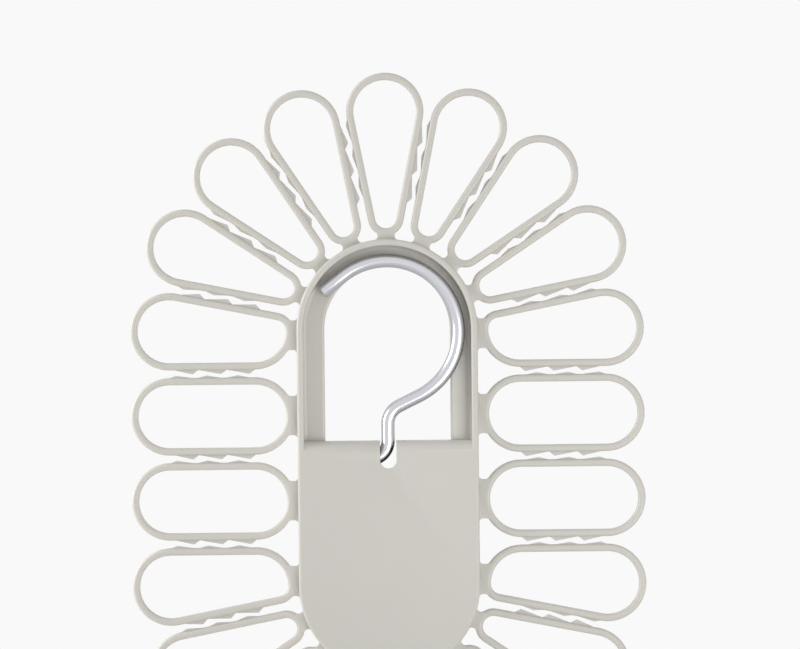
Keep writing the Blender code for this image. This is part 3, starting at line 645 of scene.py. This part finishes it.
def add_barb(sizes, corners):
    """One barb: a three-sided prism across the bar, its corners pulled to their places."""
    centre = sum(corners, Vector((0, 0))) / 3
    # The prism starts wider than a barb, so that each of its corners is told from the others by its place
    barb = add_piece(
        "barb",
        bpy.ops.mesh.primitive_cylinder_add,
        vertices=3,
        radius=4 * sizes.tall,
        depth=sizes.barb_depth,
        location=(centre.x, 0, centre.y),
        rotation=(QUARTER, 0, 0),
    )
    cage = bmesh.from_edit_mesh(barb.data)
    spots = [vert.co.copy() for vert in cage.verts if vert.co.y < 0]
    for spot, corner in zip(spots, corners):
        pick(barb, "verts", lambda at: abs(at.x - spot.x) + abs(at.z - spot.z) < WELD)
        shift(corner.x - spot.x, 0, corner.y - spot.z)
    ridge = corners[1]
    pick(barb, "edges", lambda at: abs(at.x - ridge.x) + abs(at.z - ridge.y) < WELD)
    round_off(sizes.barb_ease, segments=2)
    close_up()
    return barb


def model_loop(sizes, left_kind, right_kind):
    """One loop lying along X about the arc's centre: bar, neck and both rows of barbs in one moulding."""
    left, right = LoopSide(sizes, *left_kind, 1), LoopSide(sizes, *right_kind, -1)
    loop = trace_bar(sizes, left, right)
    combine(loop, trace_neck(sizes, (left, right)), "UNION")
    for corners in left.barb_corners() + right.barb_corners():
        combine(loop, add_barb(sizes, corners), "UNION")
    return loop


def loop_places():
    """Every loop clockwise from the top: its end's height, its direction, and the kinds of its two sides."""
    wedge = 2 * HALF_WEDGE
    half_fan = (FAN_LOOPS - 1) // 2
    top, low = ARC_CENTRE, -ARC_CENTRE
    places = [(top, QUARTER - i * wedge, (FAN, LOW), (FAN, TALL)) for i in range(half_fan + 1)]
    places.append((top, 0.0, (TRANSITION, LOW), (SIDE, TALL)))
    for i in range(FULL_SIDE_LOOPS):
        places.append((top - (i + 1) * LOOP_PITCH, 0.0, (SIDE, LOW), (SIDE, TALL)))
    places.append((low, 0.0, (SIDE, LOW), (TRANSITION, LOW)))
    lower_fan = range(half_fan, -half_fan - 1, -1)
    places += [(low, -QUARTER + i * wedge, (FAN, TALL), (FAN, LOW)) for i in lower_fan]
    places.append((low, HALF_TURN, (TRANSITION, TALL), (SIDE, LOW)))
    for i in range(FULL_SIDE_LOOPS):
        places.append((low + (i + 1) * LOOP_PITCH, HALF_TURN, (SIDE, TALL), (SIDE, LOW)))
    places.append((top, HALF_TURN, (SIDE, TALL), (TRANSITION, TALL)))
    places += [(top, QUARTER + i * wedge, (FAN, LOW), (FAN, TALL)) for i in range(half_fan, 0, -1)]
    return places


def loop_name(number, count):
    """Loops are named from the top: down the right side, then down the left side."""
    half = count // 2
    if number == 0:
        return "loop_top"
    if number == half:
        return "loop_bottom"
    if number < half:
        return f"loop_right_{number:02d}"
    return f"loop_left_{count - number:02d}"


class HANGER_OT_loops(bpy.types.Operator):
    """Model each kind of sprung loop once and set a copy of it over every loop of the ring"""

    bl_idname = "hanger.loops"
    bl_label = "Sprung Loops"

    def execute(self, context):
        sizes = context.scene.hanger_loops
        places = loop_places()
        patterns = {}
        for number, (height, angle, left, right) in enumerate(places):
            if (left, right) not in patterns:
                patterns[left, right] = model_loop(sizes, left, right)
            node_name = loop_name(number, len(places))
            loop = copy_of(patterns[left, right], "sprung_" + node_name)
            settle(loop, (0, MIDDLE_DEPTH, MIDDLE_Z + height), -angle)
            hand_over(loop, moulded_polypropylene, "frame", [node_name])
        for pattern in patterns.values():
            bpy.data.objects.remove(pattern)
        return {"FINISHED"}


# Moulded body


def rim_wall(sizes):
    """The rim: its section, with a rounded crest, is carried up one side and spun over each end."""
    middle = BODY_HALF - sizes.wall / 2
    corners = (
        (sizes.crest_outer, 6, lambda at: at.x > middle and at.y < MIDDLE_DEPTH),
        (sizes.crest_inner, 5, lambda at: at.x < middle and at.y < FRONT + WELD),
        (sizes.back_edge, 3, lambda at: at.y > BACK - WELD),
    )
    rim = add_section("rim_wall", (middle, MIDDLE_DEPTH, -ARC_CENTRE), sizes.wall, BACK - FRONT, corners)
    carry(z=2 * ARC_CENTRE)
    turn(0, ARC_CENTRE, HALF_TURN, BODY_HALF)
    carry(z=-2 * ARC_CENTRE)
    turn(0, -ARC_CENTRE, HALF_TURN, BODY_HALF)
    close_up()
    return rim


def half_plate(name, sides, radius, depth, top):
    """Opens a new flat plate over the body's lower half: half a disc with its straight edge drawn up."""
    plate = add_disc(name, sides, radius, (0, depth, -ARC_CENTRE), (QUARTER, 0, 0))
    bpy.ops.mesh.bisect(plane_co=(0, 0, -ARC_CENTRE), plane_no=(0, 0, 1), clear_outer=True)
    pick(plate, "edges", lambda at: at.z > -ARC_CENTRE - WELD)
    carry(z=top + ARC_CENTRE)
    return plate


def front_panel(sizes):
    """The panel: a plate up to its brow, rolled back over it and given its thickness."""
    face = FRONT + sizes.set_back
    brow_z = sizes.panel_top - sizes.brow
    panel = half_plate("front_panel", PANEL_SIDES, BODY_HALF - sizes.wall / 2, face, brow_z)
    axis = (0, face + sizes.brow, brow_z)
    bpy.ops.mesh.spin(steps=BROW_STEPS, angle=QUARTER, center=axis, axis=(1, 0, 0))
    carry(y=BACK - sizes.lip_back - face - sizes.brow)
    weld()
    leave_edit()
    use_modifier(panel, "SOLIDIFY", thickness=sizes.skin, offset=-1.0, use_even_offset=True)
    return panel


def hook_ledge(sizes):
    """The ledge on which the folded hook lies: a lip round the opening, a skin that falls away to the rim,
    and a hollow that rises into the rim wall."""
    opening = BODY_HALF - sizes.wall - sizes.ledge_width
    low = sizes.panel_top - sizes.skin / 2
    back = BACK - sizes.lip_back - FRONT
    # The hollow ends a little inside the rim wall, so that the two cross along one clean line
    hollow_x = BODY_HALF - sizes.wall + sizes.hollow_bite - sizes.hollow
    hollow = Vector((hollow_x, sizes.ledge_foot - sizes.hollow))
    to_lip = Vector((opening, sizes.ledge_crest)) - hollow
    # The slope's line touches the hollow in this direction from the hollow's centre
    touch = math.atan2(to_lip.y, to_lip.x) % (2 * HALF_TURN) - math.acos(sizes.hollow / to_lip.length)
    slope = sizes.hollow * heading(touch) - to_lip
    under = (sizes.ledge_skin / slope.x) * slope
    ledge = add_point("hook_ledge", opening, FRONT + back, low)
    carry(y=sizes.ledge_crest - back)
    carry(slope.x, slope.y)
    steps = math.ceil(touch / (2 * math.acos(1 - SAG / sizes.hollow)))
    bpy.ops.mesh.spin(steps=steps, angle=touch, center=(hollow.x, FRONT + hollow.y, low), axis=(0, 0, 1))
    into_wall = sizes.wall / 4
    carry(x=into_wall)
    carry(y=sizes.hollow + sizes.ledge_skin)
    carry(x=-sizes.hollow - into_wall)
    carry(opening + sizes.lip_wall - hollow.x, sizes.ledge_crest + under.y - sizes.ledge_foot)
    carry(y=back - sizes.ledge_crest - sizes.ledge_skin - under.y)
    weld()
    pick_all()
    bpy.ops.mesh.edge_face_add()
    pick(ledge, "verts", lambda at: at.y < FRONT + sizes.ledge_crest + WELD and at.x < opening + WELD)
    round_off(sizes.ledge_round, segments=10, kind="VERTICES")
    pick_all()
    carry(z=ARC_CENTRE - low)
    turn(0, ARC_CENTRE, HALF_TURN, opening)
    carry(z=low - ARC_CENTRE)
    close_up()
    return ledge


def stem_slot(sizes, room=0.0):
    """What cuts the stem's slot: a bar through the body, its top half drawn up past the panel's edge."""
    centre = HINGE_Z - sizes.slot_drop + sizes.slot_half
    slot = add_piece(
        "stem_slot",
        bpy.ops.mesh.primitive_cylinder_add,
        vertices=SLOT_SIDES,
        radius=sizes.slot_half + room,
        depth=3 * (BACK - FRONT),
        location=(0, MIDDLE_DEPTH, centre),
        rotation=(QUARTER, 0, 0),
    )
    pick(slot, "verts", lambda at: at.z > centre + WELD)
    shift(z=2 * sizes.panel_top)
    leave_edit()
    return slot


def turned(name, stations, place=(0, 0, 0), along=(0, 1, 0)):
    """A round piece along a line: a disc, carried to each station and resized to the radius it has there."""
    way = Vector(along)
    (start, radius), *others = stations
    facing = way.to_track_quat("Z", "Y").to_euler()
    piece = add_disc(name, ROUND_SIDES, radius, Vector(place) + start * way, facing)
    for station, new_radius in others:
        carry(*((station - start) * way))
        ratio = new_radius / radius
        widen = [1 if part else ratio for part in way]
        bpy.ops.transform.resize(value=widen, center_override=Vector(place) + station * way)
        start, radius = station, new_radius
    close_up()
    return piece


def screw_places(kind):
    """Where the frame has its screws of this kind, across and up from its middle."""
    names = sorted(name for name in frame["nodes"] if name.startswith(kind))
    middles = [sum(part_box(name), Vector()) / 2 for name in names]
    return [(middle.x, middle.z - MIDDLE_Z) for middle in middles]


def bearing_rib(sizes, start):
    """A rib that bears the hook's leg: a plate across the leg that stands on the panel, its edges eased."""
    inside = FRONT + sizes.set_back + sizes.skin / 2
    top, foot = sizes.panel_top - sizes.skin / 2, HINGE_Z - sizes.rib_reach
    rib = add_piece(
        "bearing_rib",
        bpy.ops.mesh.primitive_cube_add,
        size=sizes.rib_width,
        location=(start - sizes.rib_width / 2, 0, (top + foot) / 2),
    )
    for way in (-1, 1):
        pick(rib, "faces", lambda at: (at.z - (top + foot) / 2) * way > sizes.rib_width / 4)
        shift(z=way * (top - foot - sizes.rib_width) / 2)
    pick(rib, "faces", lambda at: at.y > sizes.rib_width / 4)
    shift(y=-sizes.seat_gap - sizes.rib_width / 2)
    round_off(sizes.slot_ease, segments=2)
    pick(rib, "faces", lambda at: at.y < -sizes.rib_width / 2 + WELD)
    shift(y=inside + sizes.rib_width / 2)
    pick(rib, "edges", lambda at: at.y < inside + WELD and at.z > top - WELD)
    round_off(sizes.brow - sizes.skin / 2, segments=8)
    leave_edit()
    return rib


def hinge_bore(sizes, hook):
    """What the hook's leg turns in: a pocket for its head, the bore, and a bell mouth for the wire's bend."""
    # The panel's inside touches the bore along a line, so the tool is a hair smaller
    bore = hook.wire + sizes.seat_gap - WELD
    pocket = hook.head_radius + sizes.seat_gap
    far = -hook.leg_bend - hook.leg
    bend = hook.leg_bend - bore
    stations = [(far - sizes.seat_gap, pocket), (far + hook.head + sizes.seat_gap, pocket)]
    stations += [(far + hook.head + sizes.seat_gap, bore)]
    for step in range(BELL_STEPS):
        angle = step * QUARTER / BELL_STEPS
        radius = hook.leg_bend - bend * math.cos(angle)
        if radius < sizes.bell:
            stations.append((-hook.leg_bend + bend * math.sin(angle), radius))
    lip = math.acos((hook.leg_bend - sizes.bell) / bend)
    stations += [(-hook.leg_bend + bend * math.sin(lip), sizes.bell), (0, sizes.bell)]
    return turned("hinge_bore", stations, (0, 0, HINGE_Z), (1, 0, 0))


class HANGER_OT_body(bpy.types.Operator):
    """Model the moulded body: rim, panel, ledge for the folded hook, ribs, bosses, slot and hinge bore"""

    bl_idname = "hanger.body"
    bl_label = "Moulded Body"

    def execute(self, context):
        sizes = context.scene.hanger_body
        body = rim_wall(sizes)
        body.name = body.data.name = "moulded_body"
        combine(body, front_panel(sizes), "UNION")
        combine(body, hook_ledge(sizes), "UNION")
        self.add_inside(sizes, context.scene.hanger_fasteners, body)
        combine(body, stem_slot(sizes), "DIFFERENCE")
        self.ease_slot(sizes, body)
        combine(body, hinge_bore(sizes, context.scene.hanger_hook), "DIFFERENCE")
        lower_to_place(body)
        hand_over(body, moulded_polypropylene, "frame", ["front_shell"])
        return {"FINISHED"}

    def ease_slot(self, sizes, body):
        """Rounds the slot's edge on the front, down one side, round its bottom and up the other."""
        face, brow_z = FRONT + sizes.set_back, sizes.panel_top - sizes.brow
        centre = HINGE_Z - sizes.slot_drop + sizes.slot_half
        near = 3 * SAG

        def on_slot_edge(at):
            depth = abs(at.y - face)
            if at.z > brow_z:
                depth = abs(math.hypot(at.y - face - sizes.brow, at.z - brow_z) - sizes.brow)
            side = math.hypot(at.x, min(at.z - centre, 0))
            return depth < near and abs(side - sizes.slot_half) < near and at.y < face + sizes.brow / 2

        make_active(body)
        bpy.ops.object.mode_set(mode="EDIT")
        pick(body, "edges", on_slot_edge)
        round_off(sizes.slot_ease, segments=3)
        leave_edit()

    def add_inside(self, sizes, screws, body):
        """Ribs for the hook's leg, and bosses with pilot holes for the screws, behind the panel."""
        low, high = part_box("hinge_keeper")
        for start in (high.x, low.x + sizes.rib_width):
            combine(body, bearing_rib(sizes, start), "UNION")
        skin = FRONT + sizes.set_back + sizes.skin
        cover = BACK - sizes.cover - sizes.seat_gap
        pilot = screws.shank + sizes.seat_gap
        ease = sizes.cover_ease
        # The keeper's bosses end a hair below the ribs beside them, so that no two faces lie in one plane
        for kind, top in (("keeper_screw", -sizes.seat_gap - WELD), ("cover_screw", cover)):
            for x, z in screw_places(kind):
                stations = [(skin - ease, sizes.boss + 2 * ease), (skin + ease, sizes.boss)]
                stations += [(top - ease, sizes.boss), (top, sizes.boss - ease)]
                combine(body, turned("boss", stations, (x, 0, z)), "UNION")
                hole = [(skin + sizes.seat_gap, pilot), (BACK + MM, pilot)]
                combine(body, turned("pilot_hole", hole, (x, 0, z)), "DIFFERENCE")


# Hook


class HANGER_OT_hook(bpy.types.Operator):
    """Bend the wire hook: leg with its upset head, stem, neck bend, round crown and open tip"""

    bl_idname = "hanger.hook"
    bl_label = "Wire Hook"

    def execute(self, context):
        sizes = context.scene.hanger_hook
        crown_z = ARC_CENTRE - sizes.crown_drop
        end = -sizes.leg_bend - sizes.leg
        out = heading(-sizes.leave_angle)
        crown_start = Vector((0, crown_z)) + sizes.crown * out
        # The neck bend touches the stem's line, and the straight run that leaves the crown
        neck_x = sizes.neck_bend
        neck_z = crown_start.y + (sizes.neck_bend - (neck_x - crown_start.x) * out.x) / out.y
        run = crown_start - Vector((neck_x, neck_z)) + sizes.neck_bend * out
        hook = add_disc("wire_hook", ROUND_SIDES, sizes.head_radius, (end, 0, HINGE_Z), (0, QUARTER, 0))
        carry(sizes.head)
        # Under the head a new ring is drawn in to the wire's radius
        carry()
        ratio = sizes.wire / sizes.head_radius
        bpy.ops.transform.resize(value=(1, ratio, ratio), center_override=(end + sizes.head, 0, HINGE_Z))
        carry(sizes.leg - sizes.head)
        turn(-sizes.leg_bend, HINGE_Z + sizes.leg_bend, QUARTER, sizes.leg_bend)
        carry(z=neck_z - HINGE_Z - sizes.leg_bend)
        turn(neck_x, neck_z, -sizes.leave_angle, sizes.neck_bend)
        carry(run.x, 0, run.y)
        turn(0, crown_z, sizes.leave_angle + sizes.tip_angle, sizes.crown)
        tip = sizes.tip_length * heading(sizes.tip_angle + QUARTER)
        carry(tip.x, 0, tip.y)
        weld()
        cut = Vector((0, crown_z)) + sizes.crown * heading(sizes.tip_angle) + tip
        pick(hook, "faces", lambda at: math.hypot(at.x - cut.x, at.z - cut.y) < sizes.wire / 2)
        round_off(sizes.ease, segments=3)
        leave_edit()
        lower_to_place(hook)
        hand_over(hook, drawn_anodised_aluminium, "hook", ["hook"])
        return {"FINISHED"}


# Carried over pieces and the studio


class HANGER_OT_cover(bpy.types.Operator):
    """Model the back cover with its slot and countersinks, and finish the hinge keeper under it"""

    bl_idname = "hanger.cover"
    bl_label = "Cover and Keeper"

    def execute(self, context):
        sizes = context.scene.hanger_body
        screws = context.scene.hanger_fasteners
        gap = sizes.seat_gap
        half, top = BODY_HALF - sizes.wall - gap, sizes.panel_top - sizes.skin - gap
        cover = half_plate("closing_cover", COVER_SIDES, half, BACK - sizes.cover, top)
        pick_all()
        bpy.ops.mesh.dissolve_limited()
        pick_all()
        carry(y=sizes.cover)
        face_out()
        pick(cover, "faces", lambda at: abs(at.y - BACK + sizes.cover / 2) > sizes.cover / 4)
        round_off(sizes.cover_ease, segments=2)
        leave_edit()
        combine(cover, stem_slot(sizes, sizes.cover_slot_room), "DIFFERENCE")
        stations = [
            (-2 * sizes.cover, screws.shank + gap),
            (-screws.flat_head - gap / 2, screws.shank + gap),
            (-screws.flat_rim - gap / 2, screws.head + gap),
            (2 * gap, screws.head + gap),
        ]
        for x, z in screw_places("cover_screw"):
            combine(cover, turned("countersink", stations, (x, BACK, z)), "DIFFERENCE")
        lower_to_place(cover)
        hand_over(cover, moulded_polypropylene, "frame", ["back_cover"])
        dress(frame["nodes"]["hinge_keeper"], moulded_polypropylene)
        return {"FINISHED"}


def screw_pattern(name, sizes, stations):
    """A screw along +Y whose head ends at the origin, with a cross recess in its head."""
    screw = turned(name, stations)
    narrow, deep = sizes.recess_width / sizes.recess, 2 * sizes.recess_depth / sizes.recess
    taper = sizes.recess_taper
    for squeeze in ((narrow, deep, 1), (1, deep, narrow)):
        arm = add_piece("recess_arm", bpy.ops.mesh.primitive_cube_add, size=sizes.recess, location=(0, 0, 0))
        bpy.ops.transform.resize(value=squeeze, center_override=(0, 0, 0))
        pick(arm, "faces", lambda at: at.y < -sizes.recess_depth / 2)
        bpy.ops.transform.resize(value=(taper, 1, taper), center_override=(0, 0, 0))
        leave_edit()
        combine(screw, arm, "DIFFERENCE")
    return screw


class HANGER_OT_fasteners(bpy.types.Operator):
    """Model a countersunk and a pan head screw, and set a copy of one in each screw's place"""

    bl_idname = "hanger.fasteners"
    bl_label = "Screws"

    def execute(self, context):
        sizes = context.scene.hanger_fasteners
        point = sizes.point
        flat = [(-sizes.flat_length, sizes.shank - point), (point - sizes.flat_length, sizes.shank)]
        flat += [(-sizes.flat_head, sizes.shank), (-sizes.flat_rim, sizes.head), (0, sizes.head)]
        foot = -sizes.pan_head - sizes.pan_length
        pan = [(foot, sizes.shank - point), (foot + point, sizes.shank), (-sizes.pan_head, sizes.shank)]
        for step in range(PAN_STEPS + 1):
            rise = sizes.pan_head * heading(step * QUARTER / PAN_STEPS)
            pan.append((rise.y - sizes.pan_head, sizes.head - sizes.pan_head + rise.x))
        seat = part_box("keeper_screw_1")[1].y
        for kind, stations, height in (("cover_screw", flat, BACK), ("keeper_screw", pan, seat)):
            pattern = screw_pattern(kind, sizes, stations)
            for number, (x, z) in enumerate(screw_places(kind), start=1):
                screw = copy_of(pattern, f"cross_{kind}_{number}")
                settle(screw, (x, height, MIDDLE_Z + z))
                hand_over(screw, zinc_plated_steel, "frame", [f"{kind}_{number}"])
            bpy.data.objects.remove(pattern)
        return {"FINISHED"}


class HANGER_OT_studio(bpy.types.Operator):
    """Set up the camera, the soft lamps, the room's light and the pale floor"""

    bl_idname = "hanger.studio"
    bl_label = "Studio"

    def execute(self, context):
        studio = context.scene.hanger_studio
        aim = Vector((studio.aim_x, 0, MIDDLE_Z + studio.aim_z))
        camera = bpy.data.objects.new("camera", bpy.data.cameras.new("camera"))
        camera.location = (0, -studio.distance, aim.z)
        away = (aim - camera.location).length
        camera.data.lens = camera.data.sensor_width * away / (PICTURE_WIDTH * studio.pixel)
        facing = (aim - camera.location).to_track_quat("-Z", "Y")
        camera.rotation_euler = (facing @ Quaternion((0, 0, 1), -studio.roll)).to_euler()
        context.scene.collection.objects.link(camera)
        context.scene.camera = camera
        self.add_lamp(context, "key", studio.lamp_size, studio.key_place, studio.key)
        self.add_lamp(context, "fill", studio.lamp_size, studio.fill_place, studio.fill)
        self.light_room(context, studio)
        self.lay_floor(studio)
        context.scene.view_settings.view_transform = "Standard"
        return {"FINISHED"}

    def add_lamp(self, context, name, size, place, power):
        """A square soft lamp, turned to the object's middle."""
        data = bpy.data.lights.new(name, "AREA")
        data.size = size
        data.energy = power
        lamp = bpy.data.objects.new(name, data)
        lamp.location = place
        lamp.rotation_euler = (Vector((0, 0, MIDDLE_Z)) - place).to_track_quat("-Z", "Y").to_euler()
        context.scene.collection.objects.link(lamp)

    def light_room(self, context, studio):
        """An even room whose wall the camera, mirrors and glass see at its own colour."""
        world = bpy.data.worlds.new("studio_room")
        world.use_nodes = True
        tree = world.node_tree
        tree.nodes.clear()
        path = node(tree, "ShaderNodeLightPath")
        seen = path.outputs["Is Camera Ray"]
        for ray in ("Is Glossy Ray", "Is Transmission Ray"):
            either = node(tree, "ShaderNodeMath", {0: seen, 1: path.outputs[ray]}, operation="MAXIMUM")
            seen = either.outputs[0]
        light = node(tree, "ShaderNodeBackground", {"Color": (1, 1, 1, 1), "Strength": studio.ambient})
        wall = node(tree, "ShaderNodeBackground", {"Color": (*studio.backdrop, 1), "Strength": 1.0})
        mix = node(tree, "ShaderNodeMixShader", {0: seen, 1: light.outputs[0], 2: wall.outputs[0]})
        node(tree, "ShaderNodeOutputWorld", {"Surface": mix.outputs[0]})
        context.scene.world = world

    def lay_floor(self, studio):
        """A pale round floor under the object."""
        floor = add_disc("floor", FLOOR_SIDES, studio.floor_radius, (0, 0, RING_LOW))
        leave_edit()
        dress(floor, matt_paper_floor)


class HANGER_PT_panel(bpy.types.Panel):
    """The hanger's pieces in the 3D view's sidebar"""

    bl_idname = "HANGER_PT_panel"
    bl_label = "Accessory Hanger"
    bl_space_type = "VIEW_3D"
    bl_region_type = "UI"
    bl_category = "Hanger"

    def draw(self, context):
        for name, group, operators in SECTIONS:
            box = self.layout.box()
            box.label(text=group.__doc__)
            settings = getattr(context.scene, name)
            for prop in settings.bl_rna.properties:
                if not prop.is_readonly and prop.identifier != "name":
                    box.prop(settings, prop.identifier)
            for operator in operators:
                box.operator(operator.bl_idname)


# The groups of settings, each with the operators that the panel lists under it
SECTIONS = (
    ("hanger_body", BodySizes, (HANGER_OT_body, HANGER_OT_cover)),
    ("hanger_loops", LoopSizes, (HANGER_OT_loops,)),
    ("hanger_hook", HookSizes, (HANGER_OT_hook,)),
    ("hanger_fasteners", FastenerSizes, (HANGER_OT_fasteners,)),
    ("hanger_finishes", Finishes, ()),
    ("hanger_studio", StudioSettings, (HANGER_OT_studio,)),
)


def register():
    for name, group, operators in SECTIONS:
        for cls in (group, *operators):
            bpy.utils.register_class(cls)
        setattr(bpy.types.Scene, name, PointerProperty(type=group))
    bpy.utils.register_class(HANGER_PT_panel)


def unregister():
    bpy.utils.unregister_class(HANGER_PT_panel)
    for name, group, operators in reversed(SECTIONS):
        delattr(bpy.types.Scene, name)
        for cls in (*operators, group):
            bpy.utils.unregister_class(cls)


def main():
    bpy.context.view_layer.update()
    register()
    bpy.ops.hanger.body()
    bpy.ops.hanger.loops()
    bpy.ops.hanger.hook()
    bpy.ops.hanger.cover()
    bpy.ops.hanger.fasteners()
    bpy.ops.hanger.studio()


if __name__ == "__main__":
    main()
